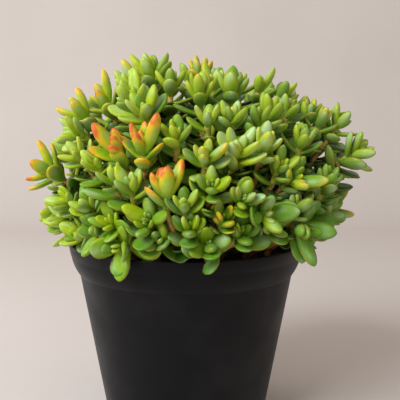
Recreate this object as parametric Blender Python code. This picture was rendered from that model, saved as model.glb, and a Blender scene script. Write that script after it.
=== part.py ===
"""A potted crassula: a tapered plastic nursery pot, its soil, and the leafy stems that grow from it.

Metres, +Z up. The origin is the middle of the pot's underside, and the front faces -Y.
A bearing is measured round the pot from the front, towards +X, and a rise upwards from level.
"""

import math
import random

import bmesh
import bpy
from mathutils import Matrix, Vector
from mathutils.bvhtree import BVHTree

# Pot, a 15 cm nursery pot
RIM_RADIUS = 0.075
POT_HEIGHT = 0.115
BASE_RADIUS = 0.0508
BODY_TOP_RADIUS = 0.0680
BAND_HEIGHT = 0.0197
BAND_FOOT_RADIUS = 0.0684
BAND_BELLY_RADIUS = 0.0722
BAND_BELLY_RISE = 0.0049
LEDGE_DROP = 0.0076
LEDGE_RADIUS = 0.0734
LEDGE_STEP = 0.0003
WALL = 0.0016
FLOOR = 0.0022
LINING_BEND_RISE = 0.002
EDGE_ROUNDING = 0.0006
FOOT_ROUNDING = 0.0012
POT_SIDES = 40
DRAIN_HOLES = 6
DRAIN_HOLE_RADIUS = 0.0045
DRAIN_HOLE_SIDES = 8
DRAIN_RING_RADIUS = 0.036
CUTTER_REACH = 0.003

# Soil
CLEARANCE = 0.0003
SOIL_EDGE_GAP = 0.0007
SOIL_SIDE_GAP = 0.0004
SOIL_DROP = 0.0085
SOIL_MOUND = 0.004
SOIL_BUMP = 0.0007
HOLE_DEPTH = 0.010
HOLE_SIDES = 5
COLLAR_RISE = 0.002

# Growth: the mound that the crowns of leaves lie on, over the pot
MOUND_CENTRE = Vector((0.007, 0.0, POT_HEIGHT + 0.013))
MOUND_REACH = Vector((0.096, 0.090, 0.090))
LOWEST_RISE = -6
TUCK_RISE = 16
TUCK_PER_DEGREE = 0.0085
OUTWARD_LEAN = 0.72
HANGING_LEAN = 80
CROWNS_IN_ALL = 112
CROWN_SPACING = 0.0185
STEMS_IN_ALL = 50
ROOT_SPREAD = 0.057
FORK_SHARE = 0.42
FORK_CLEARANCE = 0.005
FORK_SINK = 0.002
FORK_EASE = 0.25
STEM_RADIUS = 0.0023
SHOOT_RADIUS = 0.0017
SHOOT_TAPER = (1.2, 1.2, 1.1, 0.9, 0.95, 1.1)
SHOOT_BENDS = (0.38, 0.7)
STRAIGHT_LENGTH = 0.009
STRAIGHT_SHARE = 0.42
NODE_DROPS = (0.0, 0.0030, 0.0060)
BUD_LENGTH = 0.0065
LEAF_LENGTH = 0.0162
LEAF_WIDTH_SHARE = 0.46
LEAF_THICKNESS_SHARE = 0.23
LEAF_TOP_SHARE = 0.3
LEAF_TIP_SHARE = 0.36
LEAF_CURL = 0.13
LEAF_SECTIONS = ((0.32, 0.8), (0.68, 1.0))
GOLDEN_ANGLE = math.pi * (3 - math.sqrt(5))
SEED = 7

# The crowns seen from the front: bearing, rise, reach, lean from upright, size, blush of red
FRONT_CROWNS = (
    (-77, 73, 1.04, 10, 1.20, 0.10), (15, 86, 0.99, 10, 0.90, 0.60), (1, 57, 1.0, 15, 1.00, 0.25),
    (-41, 54, 1.0, 20, 1.10, 0.05), (-83, 54, 1.0, 30, 1.00, 0.60), (-82, 45, 1.03, 38, 1.00, 0.45),
    (-72, 37, 1.0, 75, 1.05, 0.00), (-30, 30, 1.0, 34, 1.05, 0.95), (-21, 31, 1.0, 10, 1.00, 0.90),
    (-52, 28, 1.0, 50, 0.85, 0.20), (-81, 20, 1.02, 62, 1.05, 0.75), (-42, 10, 1.0, 45, 0.90, 0.10),
    (-30, 20, 1.0, 20, 1.00, 0.15), (-23, 17, 1.0, 25, 0.95, 0.10), (-11, 15, 1.0, 12, 1.10, 1.00),
    (-17, 8, 1.0, 60, 1.00, 0.05), (2, 28, 1.0, 40, 0.95, 0.35), (14, 30, 1.0, 36, 1.10, 0.15),
    (24, 31, 1.0, 30, 1.00, 0.20), (45, 33, 1.0, 20, 1.00, 0.15), (79, 25, 1.12, 62, 1.05, 0.10),
    (81, 45, 1.01, 12, 1.00, 0.45), (79, 36, 1.12, 35, 0.95, 0.05), (74, 40, 1.04, 25, 0.90, 0.30),
    (37, 46, 1.0, 14, 1.00, 0.10), (81, 52, 0.98, 10, 0.85, 0.30), (78, 58, 1.01, 20, 1.00, 0.10),
    (77, 66, 0.99, 10, 0.90, 0.10), (74, 74, 0.97, 10, 0.90, 0.10), (23, 60, 1.0, 18, 1.05, 0.05),
    (18, 72, 0.96, 8, 0.85, 0.30), (28, 43, 1.0, 15, 1.00, 0.20), (15, 44, 1.0, 15, 0.95, 0.10),
    (-9, 36, 1.0, 20, 0.95, 0.00), (14, 14, 1.0, 60, 1.00, 0.25), (8, 7, 1.0, 48, 0.80, 0.70),
    (23, 9, 1.0, 75, 1.20, 0.00), (36, 10, 1.0, 35, 0.90, 0.20), (51, 17, 1.0, 22, 0.95, 0.10),
    (34, 20, 1.0, 65, 1.05, 0.50), (53, 6, 1.0, 75, 1.05, 0.00), (15, 2, 1.0, 55, 1.05, 0.00),
    (3, -2, 1.0, 72, 1.15, 0.05), (-3, 4, 1.0, 50, 1.00, 0.10), (-15, -1, 1.0, 60, 1.05, 0.05),
    (-42, 1, 1.0, 82, 0.95, 0.10), (-33, 5, 1.0, 60, 0.90, 0.10), (-57, -3, 1.0, 70, 1.00, 0.15),
    (-55, 11, 1.0, 65, 0.90, 0.00), (4, 43, 1.0, 22, 0.90, 0.00), (-5, 12, 1.0, 35, 0.90, 0.05),
    (27, 4, 1.0, 60, 0.90, 0.00), (38, 3, 1.06, 95, 1.25, 0.00), (-29, -3, 1.08, 100, 1.20, 0.00),
    (-18, 5, 1.0, 60, 1.20, 0.00), (-39, 25, 1.0, 40, 0.95, 0.00), (29, 24, 1.0, 35, 0.90, 0.10),
    (4, 18, 1.0, 45, 0.95, 0.10), (81, 6, 0.92, 62, 1.00, 0.05), (68, -4, 0.92, 75, 0.95, 0.05),
)

# The grown pairs of leaves on a shoot, the lower one first: the ring above them, splay from the axis, size
GROWN_PAIRS = ((1, 60, 1.0), (0, 42, 0.92))

# What a leaf that would cross another tries in turn: more splay, more turn, size
LEAF_TRIES = (
    (0, 0, 1.0), (-8, 0, 1.0), (8, 0, 1.0), (0, 13, 1.0), (0, -13, 1.0), (-15, 0, 0.95), (-8, 16, 0.92),
    (-8, -16, 0.92), (12, 16, 0.9), (12, -16, 0.9), (-22, 0, 0.85), (-15, 24, 0.85), (-15, -24, 0.85),
    (-28, 0, 0.75), (-20, 30, 0.75), (-20, -30, 0.75),
)

# What a shoot that would cross another tries in turn: bow to its side, bow upwards
SHOOT_TRIES = (
    (0, 0), (0.004, 0), (-0.004, 0), (0, 0.004), (0.004, 0.004), (-0.004, 0.004), (0.008, 0), (-0.008, 0),
    (0, 0.008), (0.008, 0.008), (-0.008, 0.008), (0.012, 0), (-0.012, 0),
)


def principled(name, colour, roughness):
    """A plain material of one colour, not a metal."""
    material = bpy.data.materials.new(name)
    material.use_nodes = True
    shader = material.node_tree.nodes["Principled BSDF"]
    shader.inputs["Base Color"].default_value = (*colour, 1)
    shader.inputs["Roughness"].default_value = roughness
    shader.inputs["Metallic"].default_value = 0.0
    return material


def object_from(name, points, faces):
    """A mesh object in the scene, its faces turned outwards."""
    mesh = bpy.data.meshes.new(name)
    mesh.from_pydata([tuple(p) for p in points], [], faces)
    work = bmesh.new()
    work.from_mesh(mesh)
    bmesh.ops.recalc_face_normals(work, faces=work.faces)
    work.to_mesh(mesh)
    work.free()
    made = bpy.data.objects.new(name, mesh)
    bpy.context.scene.collection.objects.link(made)
    return made


def remove(made):
    """Takes a helper object and its mesh away."""
    mesh = made.data
    bpy.data.objects.remove(made)
    bpy.data.meshes.remove(mesh)


def apply_modifiers(made):
    """Replaces an object's mesh by the one that its modifiers make."""
    old = made.data
    evaluated = made.evaluated_get(bpy.context.evaluated_depsgraph_get())
    made.data = bpy.data.meshes.new_from_object(evaluated)
    made.modifiers.clear()
    bpy.data.meshes.remove(old)


def shade(made, material, crease):
    """Gives an object its material, shaded smooth except at edges sharper than the crease."""
    made.data.materials.clear()
    made.data.materials.append(material)
    made.data.shade_smooth()
    made.data.set_sharp_from_angle(angle=math.radians(crease))


def turned(name, profile):
    """A solid of revolution. The profile runs from the axis out and back to the axis."""
    points = [Vector((0, 0, profile[0][1]))]
    for radius, height in profile[1:-1]:
        for side in range(POT_SIDES):
            turn = 2 * math.pi * side / POT_SIDES
            points.append(Vector((radius * math.sin(turn), -radius * math.cos(turn), height)))
    points.append(Vector((0, 0, profile[-1][1])))
    return object_from(name, points, tube_faces(len(profile) - 2, POT_SIDES))


def tube_faces(rings, sides, openings=()):
    """Faces of a skin over rings of points, with one point before the first ring and one after the last."""
    last = 1 + rings * sides
    faces = []
    for side in range(sides):
        after = (side + 1) % sides
        faces.append((0, 1 + after, 1 + side))
        for ring in range(rings - 1):
            low, high = 1 + ring * sides, 1 + (ring + 1) * sides
            if (ring, side) not in openings:
                faces.append((low + side, low + after, high + after, high + side))
        faces.append((last - sides + side, last - sides + after, last))
    return faces


def bezier(points, share):
    """The point at a share of the way along a Bezier curve, from its control points."""
    while len(points) > 1:
        points = [a.lerp(b, share) for a, b in zip(points, points[1:])]
    return points[0]


def band_flank():
    """The band's rounded flank from its foot up to the ledge: the control points of a Bezier curve."""
    band_foot = POT_HEIGHT - BAND_HEIGHT
    return [
        Vector((BAND_FOOT_RADIUS, band_foot)),
        Vector((BAND_BELLY_RADIUS, band_foot + BAND_BELLY_RISE)),
        Vector((LEDGE_RADIUS, POT_HEIGHT - LEDGE_DROP)),
    ]


def pot_wall():
    """The outside of the pot from its foot up to the lip, as (radius, height)."""
    return [
        (BASE_RADIUS - FOOT_ROUNDING, 0.0),
        (BASE_RADIUS, FOOT_ROUNDING),
        (BODY_TOP_RADIUS, POT_HEIGHT - BAND_HEIGHT),
        *(tuple(bezier(band_flank(), step / 4)) for step in range(5)),
        (LEDGE_RADIUS + LEDGE_STEP, POT_HEIGHT - LEDGE_DROP + LEDGE_STEP),
        (RIM_RADIUS, POT_HEIGHT - EDGE_ROUNDING),
        (RIM_RADIUS - EDGE_ROUNDING, POT_HEIGHT),
    ]


def pot_lining():
    """The inside of the pot from the lip down to the edge of its floor, as (radius, height)."""
    middle = bezier(band_flank(), 0.5)
    return [
        (RIM_RADIUS - WALL, POT_HEIGHT),
        (LEDGE_RADIUS - WALL, POT_HEIGHT - LEDGE_DROP),
        (middle.x - WALL, middle.y),
        (BODY_TOP_RADIUS - WALL, POT_HEIGHT - BAND_HEIGHT + LINING_BEND_RISE),
        (BASE_RADIUS - WALL, FLOOR),
    ]


def make_pot():
    """The pot, with drain holes round the edge of its floor."""
    pot = turned("pot", [(0, 0), *pot_wall(), *pot_lining(), (0, FLOOR)])
    points, faces = [], []
    for index in range(DRAIN_HOLES):
        turn = 2 * math.pi * (index + 0.5) / DRAIN_HOLES
        middle = Vector((DRAIN_RING_RADIUS * math.sin(turn), -DRAIN_RING_RADIUS * math.cos(turn), 0))
        path = [middle - Vector((0, 0, CUTTER_REACH)), middle + Vector((0, 0, FLOOR + CUTTER_REACH))]
        add_tube(points, faces, path, [DRAIN_HOLE_RADIUS] * 2, DRAIN_HOLE_SIDES)
    cut(pot, object_from("drain_cutter", points, faces))
    shade(pot, principled("pot black plastic", (0.022, 0.021, 0.021), 0.5), 35)
    return pot


def add_tube(points, faces, path, radii, sides, across=None, nose=0.0, openings=()):
    """Adds a few-sided closed tube along a path to a mesh.

    Across is where its first side faces. A nose draws its first end out to a point. The openings are
    faces to leave out, as (ring, side).
    """
    start = len(points)
    along = (path[1] - path[0]).normalized()
    across = across or along.orthogonal().normalized()
    points.append(path[0] - along * nose)
    for index, (place, radius) in enumerate(zip(path, radii)):
        ahead = path[min(index + 1, len(path) - 1)] - path[max(index - 1, 0)]
        turn = along.rotation_difference(ahead.normalized())
        along, across = ahead.normalized(), turn @ across
        for side in range(sides):
            swing = Matrix.Rotation(2 * math.pi * (side - 0.5) / sides, 3, along)
            points.append(place + swing @ across * radius)
    points.append(path[-1])
    for face in tube_faces(len(path), sides, openings):
        faces.append(tuple(start + corner for corner in face))


def cut(made, cutter):
    """Cuts one object's volume out of another and removes the cutter."""
    cutter.hide_render = True
    cutter.display_type = "WIRE"
    boolean = made.modifiers.new("cut", "BOOLEAN")
    boolean.operation = "DIFFERENCE"
    boolean.solver = "EXACT"
    boolean.object = cutter
    apply_modifiers(made)
    remove(cutter)


def soil_height(radius):
    """Height of the soil's surface at a radius, highest in the middle."""
    return POT_HEIGHT - SOIL_DROP + SOIL_MOUND * (1 - (radius / RIM_RADIUS) ** 2)


def make_soil(roots):
    """The soil, filling the pot up to a low mound, with a plain hole for each stem."""
    lining = pot_lining()
    edge = lining[1][0] - SOIL_EDGE_GAP
    wall = [(radius - SOIL_SIDE_GAP, height) for radius, height in lining[:1:-1]]
    wall[0] = (wall[0][0], FLOOR + CLEARANCE)
    rings = [(edge * share, soil_height(edge * share)) for share in (1.0, 0.75, 0.5, 0.25)]
    soil = turned("soil", [(0, FLOOR + CLEARANCE), *wall, *rings, (0, soil_height(0))])
    draw = random.Random(SEED)
    for vertex in soil.data.vertices:
        inside = math.hypot(vertex.co.x, vertex.co.y) < 0.9 * edge
        if inside and vertex.co.z > POT_HEIGHT / 2:
            vertex.co.z += draw.uniform(-SOIL_BUMP, SOIL_BUMP)
    hole_radius = (STEM_RADIUS + 2 * CLEARANCE) / math.cos(math.pi / HOLE_SIDES)
    points, faces = [], []
    for root in roots:
        path = [root - Vector((0, 0, CLEARANCE)), root + Vector((0, 0, HOLE_DEPTH + CUTTER_REACH))]
        add_tube(points, faces, path, [hole_radius] * 2, HOLE_SIDES)
    cut(soil, object_from("root_holes", points, faces))
    shade(soil, principled("soil dark", (0.030, 0.021, 0.014), 0.95), 40)
    return soil


def towards(bearing, rise):
    """The unit vector at a bearing round the pot and a rise from level, both in degrees."""
    turn, up = math.radians(bearing), math.radians(rise)
    return Vector((math.cos(up) * math.sin(turn), -math.cos(up) * math.cos(turn), math.sin(up)))


def on_mound(bearing, rise, reach=1.0):
    """The place on the mound at a bearing and a rise. Near the rim the mound tucks in."""
    tuck = 1 - TUCK_PER_DEGREE * max(0, TUCK_RISE - rise)
    return MOUND_CENTRE + reach * tuck * MOUND_REACH * towards(bearing, rise)


def lattice(count):
    """Bearings and rises spread evenly over the mound, from the top down, by the golden angle."""
    lowest = math.sin(math.radians(LOWEST_RISE))
    for index in range(count):
        height = 1 - (1 - lowest) * (index + 0.5) / count
        yield math.degrees(index * GOLDEN_ANGLE) % 360, math.degrees(math.asin(height))


class Crown:
    """The leafy tip of one shoot: its place, the way it points, its size and its blush of red."""

    def __init__(self, number, bearing, rise, reach, lean, size, blush):
        self.tip = on_mound(bearing, rise, reach)
        self.axis = towards(bearing, 90 - lean)
        self.size = size
        self.blush = blush
        self.draw = random.Random(SEED + number)
        hang = (self.axis.z * self.axis - Vector((0, 0, 1))).normalized()
        roll = self.draw.uniform(-0.5, 0.5) * (math.pi if lean < HANGING_LEAN else 0.4)
        self.across = Matrix.Rotation(roll, 3, self.axis) @ hang
        self.stem = None
        self.path = None
        self.leaves = []


def all_crowns():
    """The crowns seen from the front, then others wherever the mound is still bare."""
    crowns = [Crown(number, *values) for number, values in enumerate(FRONT_CROWNS)]
    draw = random.Random(SEED)
    for bearing, rise in lattice(CROWNS_IN_ALL):
        bearing, rise = bearing + draw.uniform(-5, 5), rise + draw.uniform(-3, 3)
        lean = OUTWARD_LEAN * (90 - rise) + draw.uniform(-12, 12)
        crown = Crown(len(crowns), bearing, rise, draw.uniform(0.96, 1.05), lean, draw.uniform(0.9, 1.1), 0.0)
        crown.blush = max(0.0, draw.gauss(0.05, 0.25))
        if all((crown.tip - other.tip).length > CROWN_SPACING for other in crowns):
            crowns.append(crown)
    return crowns


class Stem:
    """One plant of the pot: a stem rooted in the soil that forks into a few shoots."""

    def __init__(self, bearing, rise):
        self.way = towards(bearing, rise)
        self.crowns = []
        spread = math.sqrt((1 - self.way.z) / (1 - math.sin(math.radians(LOWEST_RISE))))
        radius = ROOT_SPREAD * spread
        turn = math.radians(bearing)
        ground = Vector((radius * math.sin(turn), -radius * math.cos(turn), soil_height(radius)))
        self.root = ground - Vector((0, 0, HOLE_DEPTH))

    def lay_out(self):
        """Finds the fork, between the root and the middle of the crowns, and the path up to it."""
        middle = sum((crown.tip for crown in self.crowns), Vector()) / len(self.crowns)
        fork = self.root.lerp(middle, FORK_SHARE)
        fork.z = max(fork.z, POT_HEIGHT + FORK_CLEARANCE)
        collar = self.root + Vector((0, 0, HOLE_DEPTH + COLLAR_RISE))
        self.path = [self.root, collar, fork]
        self.heading = (fork - collar).normalized()


def all_stems(crowns):
    """The stems, each with the crowns that lie nearest to it. One with no crown is left out."""
    stems = [Stem(bearing, rise) for bearing, rise in lattice(STEMS_IN_ALL)]
    for crown in crowns:
        way = (crown.tip - MOUND_CENTRE).normalized()
        crown.stem = max(stems, key=lambda stem: way.dot(stem.way))
        crown.stem.crowns.append(crown)
    stems = [stem for stem in stems if stem.crowns]
    for stem in stems:
        stem.lay_out()
    return stems


class Thicket:
    """Everything grown so far, filed by place, so that what grows next can be kept clear of it."""

    CELL = 0.02

    def __init__(self):
        self.cells = {}

    def cells_of(self, points):
        """The cells that a piece's box touches."""
        spans = []
        for axis in range(3):
            values = [point[axis] for point in points]
            spans.append(range(int(min(values) // self.CELL), int(max(values) // self.CELL) + 1))
        return [(x, y, z) for x in spans[0] for y in spans[1] for z in spans[2]]

    def add(self, points, faces, *kin):
        """Files a piece with the stem and the crown that it belongs to."""
        filed = (BVHTree.FromPolygons(points, faces), kin)
        for cell in self.cells_of(points):
            self.cells.setdefault(cell, []).append(filed)

    def is_clear(self, points, faces, own):
        """Whether a piece crosses nothing but what belongs to its own stem or crown."""
        tree = BVHTree.FromPolygons(points, faces)
        near = {id(filed): filed for cell in self.cells_of(points) for filed in self.cells.get(cell, ())}
        return not any(own not in kin and tree.overlap(other) for other, kin in near.values())


def shoot_path(crown, bow, leads):
    """The way of a shoot from its crown down to its stem's fork, and on to the root if it leads the stem.

    Bow bends it aside and up.
    """
    fork = crown.stem.path[-1] - crown.stem.heading * FORK_SINK
    reach = (crown.tip - fork).length
    aside = crown.stem.heading.cross(crown.axis).normalized() * bow[0] + Vector((0, 0, bow[1]))
    nodes = [crown.tip - crown.axis * drop for drop in NODE_DROPS]
    control = [
        nodes[-1],
        crown.tip - crown.axis * max(STRAIGHT_LENGTH, reach * STRAIGHT_SHARE) + aside,
        fork + crown.stem.heading * reach * FORK_EASE + aside,
        fork,
    ]
    path = nodes + [bezier(control, share) for share in SHOOT_BENDS]
    if leads:
        return path + crown.stem.path[::-1]
    return path + [fork]


def leaf_seat(ring, side):
    """The shoot's points round a leaf's root, by number: left, right, keel and the spare corner."""
    upper, lower = 1 + 4 * ring, 5 + 4 * ring
    left, right = (side + 1) % 4, side
    return upper + left, upper + right, lower + left, lower + right


def shoot_mesh(crown, leaves=(), grow=0.0):
    """A four-sided shoot that ends in a bud, with each leaf growing out of one of its sides."""
    points, faces = [], []
    openings = [(ring, side) for ring, side, _ in leaves]
    radii = [SHOOT_RADIUS * share for share in SHOOT_TAPER]
    if len(crown.path) > len(radii):
        radii[-1:] = [STEM_RADIUS] * len(crown.stem.path)
    radii = [radius + grow for radius in radii]
    add_tube(points, faces, crown.path, radii, 4, crown.across, BUD_LENGTH * crown.size, openings)
    for ring, side, leaf in leaves:
        left, right, keel, spare = leaf_seat(ring, side)
        faces.append((keel, spare, right))
        faces.extend(leaf_faces((left, right, keel), len(points)))
        points.extend(leaf)
    return points, faces


def leaf_seat_points(crown, ring, side, grow):
    """The left, right and keel points of a leaf's root on its shoot."""
    shoot, _ = shoot_mesh(crown, grow=grow)
    return [shoot[corner] for corner in leaf_seat(ring, side)[:3]]


def leaf_half_width(share):
    """Half the width of a leaf, as a share of its greatest, from its narrow root to its round tip."""
    widest = 0.66
    if share < widest:
        ease = share / widest
        return 0.34 + 0.66 * ease * ease * (3 - 2 * ease)
    return math.sqrt(max(0.0, 1 - ((share - widest) / (1 - widest)) ** 2.2))


def leaf_points(crown, ring, splay, roll, length, grow=0.0):
    """The points of one thick leaf past its root, flat above and keeled below, with a blunt tip."""
    root = crown.path[ring].lerp(crown.path[ring + 1], 0.5)
    side = Matrix.Rotation(math.radians(roll), 3, crown.axis) @ crown.across
    cos, sin = math.cos(math.radians(splay)), math.sin(math.radians(splay))
    along = cos * crown.axis + sin * side
    up = sin * crown.axis - cos * side
    across = along.cross(up)
    half_width = length * LEAF_WIDTH_SHARE / 2
    thickness = length * LEAF_THICKNESS_SHARE
    points = []
    for share, depth in LEAF_SECTIONS:
        middle = root + along * length * share + up * length * LEAF_CURL * share * share
        wide = half_width * leaf_half_width(share) + grow
        top = up * (LEAF_TOP_SHARE * thickness * depth + grow)
        points.append(middle + across * wide + top)
        points.append(middle - across * wide + top)
        points.append(middle - up * ((1 - LEAF_TOP_SHARE) * thickness * depth + grow))
    tip = root + along * (length + grow) + up * length * LEAF_CURL
    blunt = half_width * LEAF_TIP_SHARE + grow
    return points + [tip + across * blunt, tip - across * blunt]


def leaf_faces(root, first):
    """The faces of a leaf from the three points of its root, with its own points numbered from the first."""
    left, right, keel = root
    a, b, c, d, e, f, g, h = range(first, first + 8)
    base = [(left, a, b, right), (right, b, c, keel), (keel, c, a, left)]
    blade = [(a, d, e, b), (b, e, f, c), (c, f, d, a)]
    return base + blade + [(d, g, h, e), (e, h, f), (f, g, d), (f, h, g)]


def crosses_itself(points, faces):
    """Whether any two faces of a mesh cross that have no corner in common."""
    tree = BVHTree.FromPolygons(points, faces)
    return any(not set(faces[one]) & set(faces[other]) for one, other in tree.overlap(tree))


def grow_shoot(crown, leads, thicket):
    """Grows a shoot, bowed aside where it would cross another stem. Says whether it found a way."""
    for bow in SHOOT_TRIES:
        crown.path = shoot_path(crown, bow, leads)
        clear = thicket.is_clear(*shoot_mesh(crown, grow=CLEARANCE), crown.stem)
        if clear and not crosses_itself(*shoot_mesh(crown)):
            thicket.add(*shoot_mesh(crown), crown.stem, crown)
            return True
    return False


def grow_shoots(stems, thicket):
    """Grows every stem's leading shoot, the one that carries on straightest, and then the others.

    Gives the stems that found a way up.
    """
    for stem in stems:
        stem.crowns.sort(key=lambda crown: -stem.way.dot((crown.tip - MOUND_CENTRE).normalized()))
        while stem.crowns and not grow_shoot(stem.crowns[0], True, thicket):
            stem.crowns.pop(0)
    grown = [stem for stem in stems if stem.crowns]
    for stem in grown:
        leader, *others = stem.crowns
        stem.crowns = [leader] + [crown for crown in others if grow_shoot(crown, False, thicket)]
    return grown


def is_above_soil(points):
    """Whether those of the points that lie inside the rim keep clear of the soil's surface."""
    margin = SOIL_BUMP + CLEARANCE
    inside = [point for point in points if math.hypot(point.x, point.y) < RIM_RADIUS]
    return all(point.z > soil_height(math.hypot(point.x, point.y)) + margin for point in inside)


def grow_pair(crown, pair, turn, thicket):
    """Grows one pair of opposite leaves. A leaf is turned or shrunk until it crosses nothing."""
    ring, splay, size = pair
    for side in (turn, turn + 2):
        length = LEAF_LENGTH * crown.size * size * crown.draw.uniform(0.92, 1.06)
        splay_here = splay + crown.draw.uniform(-5, 5)
        roll = -90 * side + crown.draw.uniform(-6, 6)
        seat, wide_seat = (leaf_seat_points(crown, ring, side, grow) for grow in (0.0, CLEARANCE))
        blade = leaf_faces((0, 1, 2), 3)
        for more_splay, more_turn, scale in LEAF_TRIES:
            leaf = (crown, ring, splay_here + more_splay, roll + more_turn, length * scale)
            leaves = [*crown.leaves, (ring, side, leaf_points(*leaf))]
            space = leaf_points(*leaf, CLEARANCE)
            clear = is_above_soil(space) and thicket.is_clear(wide_seat + space, blade, crown)
            if clear and not crosses_itself(*shoot_mesh(crown, leaves)):
                thicket.add(seat + leaf_points(*leaf), blade, crown.stem, crown)
                crown.leaves = leaves
                break


def fuse(name, meshes):
    """Joins the closed meshes of one leafy stem into one solid."""
    stem, *rest = (object_from(name, points, faces) for points, faces in meshes)
    if not rest:
        return stem
    repeats = bpy.data.collections.new(name + "_repeats")
    bpy.context.scene.collection.children.link(repeats)
    for piece in rest:
        bpy.context.scene.collection.objects.unlink(piece)
        repeats.objects.link(piece)
    union = stem.modifiers.new("union", "BOOLEAN")
    union.operation = "UNION"
    union.solver = "MANIFOLD"
    union.operand_type = "COLLECTION"
    union.collection = repeats
    apply_modifiers(stem)
    for piece in rest:
        remove(piece)
    bpy.data.collections.remove(repeats)
    return stem


def leaf_colour(blush):
    """Leaf green, warmer on the stems that the sun has blushed."""
    green, gold = Vector((0.17, 0.33, 0.045)), Vector((0.55, 0.36, 0.04))
    return tuple(green.lerp(gold, 0.6 * blush))


def main():
    for made in list(bpy.data.objects):
        bpy.data.objects.remove(made)
    pot = make_pot().data
    thicket = Thicket()
    thicket.add([point.co.copy() for point in pot.vertices], [tuple(face.vertices) for face in pot.polygons])
    stems = grow_shoots(all_stems(all_crowns()), thicket)
    make_soil([stem.root for stem in stems])
    for turn, pair in enumerate(GROWN_PAIRS):
        for stem in stems:
            for crown in stem.crowns:
                grow_pair(crown, pair, turn, thicket)
    for number, stem in enumerate(stems, start=1):
        shoots = [shoot_mesh(crown, crown.leaves) for crown in stem.crowns]
        leafy = fuse(f"leafy_stem_{number:02d}", shoots)
        blush = sum(crown.blush for crown in stem.crowns) / len(stem.crowns)
        shade(leafy, principled(f"crassula leaf {number:02d}", leaf_colour(blush), 0.45), 50)


main()
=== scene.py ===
"""A crassula in a black nursery pot: the looks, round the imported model. Metres, +Z up, front at -Y."""

import math
import random

import bmesh
import bpy
from mathutils import Matrix, Vector
from mathutils.bvhtree import BVHTree


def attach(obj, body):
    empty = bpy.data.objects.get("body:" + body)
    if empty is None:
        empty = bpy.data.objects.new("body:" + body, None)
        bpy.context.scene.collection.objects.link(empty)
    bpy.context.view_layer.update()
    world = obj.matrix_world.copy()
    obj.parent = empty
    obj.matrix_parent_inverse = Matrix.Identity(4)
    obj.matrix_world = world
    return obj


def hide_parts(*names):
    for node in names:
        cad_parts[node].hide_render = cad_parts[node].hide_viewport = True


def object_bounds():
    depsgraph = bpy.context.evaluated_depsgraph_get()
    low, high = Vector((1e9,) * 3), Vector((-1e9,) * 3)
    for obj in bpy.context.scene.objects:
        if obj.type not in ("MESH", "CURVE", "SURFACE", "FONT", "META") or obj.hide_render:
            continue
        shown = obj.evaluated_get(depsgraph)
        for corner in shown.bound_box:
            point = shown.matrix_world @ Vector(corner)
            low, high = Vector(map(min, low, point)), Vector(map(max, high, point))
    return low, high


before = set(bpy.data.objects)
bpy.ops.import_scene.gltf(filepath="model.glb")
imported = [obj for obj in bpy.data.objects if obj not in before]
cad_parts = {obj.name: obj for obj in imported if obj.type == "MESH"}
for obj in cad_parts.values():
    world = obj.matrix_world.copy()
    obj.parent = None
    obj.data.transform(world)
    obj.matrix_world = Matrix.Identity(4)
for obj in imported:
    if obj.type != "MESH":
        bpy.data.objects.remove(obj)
cad_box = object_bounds()


# The pot: one piece of black polypropylene, injection moulded with a band round its rim and
# drain holes in its floor. The mould leaves a fine satin grain and faint rings on its side.
RIM_RADIUS = 0.075
POT_HEIGHT = 0.115
BASE_RADIUS = 0.0508
BODY_TOP_RADIUS = 0.0680
BAND_HEIGHT = 0.0197
BAND_FOOT_RADIUS = 0.0684
BAND_BELLY_RADIUS = 0.0722
BAND_BELLY_RISE = 0.0049
BAND_STEPS = 12
LEDGE_DROP = 0.0076
LEDGE_RADIUS = 0.0734
LEDGE_STEP = 0.0003
POT_WALL = 0.0016
POT_FLOOR = 0.0022
LINING_BEND_RISE = 0.002
LIP_ROUNDING = 0.0006
FOOT_ROUNDING = 0.0012
POT_SIDES = 144
DRAIN_HOLES = 6
DRAIN_HOLE_RADIUS = 0.0045
DRAIN_RING_RADIUS = 0.036
DRILL_FOOT = -0.003
DRILL_TOP = 0.006
DRILL_SIDES = 24
SHARP_ANGLE = math.radians(35)
PLASTIC = (0.0018, 0.0020, 0.0026)
PLASTIC_WORN = (0.016, 0.0155, 0.0155)


def fill(tree, node, inputs):
    """Sets or links a node's inputs. A list's parts all go into one input."""
    for key, value in inputs.items():
        for part in value if isinstance(value, list) else [value]:
            if isinstance(part, bpy.types.NodeSocket):
                tree.links.new(part, node.inputs[key])
            else:
                node.inputs[key].default_value = part


def place(tree, kind, inputs, **settings):
    """A new node with its settings and inputs."""
    node = tree.nodes.new(kind)
    for name, value in settings.items():
        setattr(node, name, value)
    fill(tree, node, inputs)
    return node


def ease(tree, value, start, end, low=0.0, high=1.0):
    """A value brought smoothly from one range into another."""
    sockets = {"Value": value, "From Min": start, "From Max": end, "To Min": low, "To Max": high}
    return place(tree, "ShaderNodeMapRange", sockets, interpolation_type="SMOOTHSTEP").outputs[0]


def blend(tree, share, colour, other):
    """One colour turned into another by a share from 0 to 1."""
    colour, other = ((*c, 1.0) if isinstance(c, tuple) else c for c in (colour, other))
    return place(tree, "ShaderNodeMix", {0: share, 6: colour, 7: other}, data_type="RGBA").outputs[2]


def reckon(tree, first, second, operation="MULTIPLY"):
    """The product of two values, or another operation's result, kept between 0 and 1."""
    sockets = {0: first, 1: second}
    return place(tree, "ShaderNodeMath", sockets, operation=operation, use_clamp=True).outputs[0]


def object_place(tree):
    """A point's place on its object."""
    return place(tree, "ShaderNodeTexCoord", {}).outputs["Object"]


def cloud(tree, scale, detail):
    """Soft noise that is fixed to the object, from 0 to 1."""
    sockets = {"Vector": object_place(tree), "Scale": scale, "Detail": detail}
    return place(tree, "ShaderNodeTexNoise", sockets).outputs["Fac"]


def patches(tree, scale, detail, start, end, low=0.0, high=1.0):
    """Soft noise brought smoothly from one range into another."""
    return ease(tree, cloud(tree, scale, detail), start, end, low, high)


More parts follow.
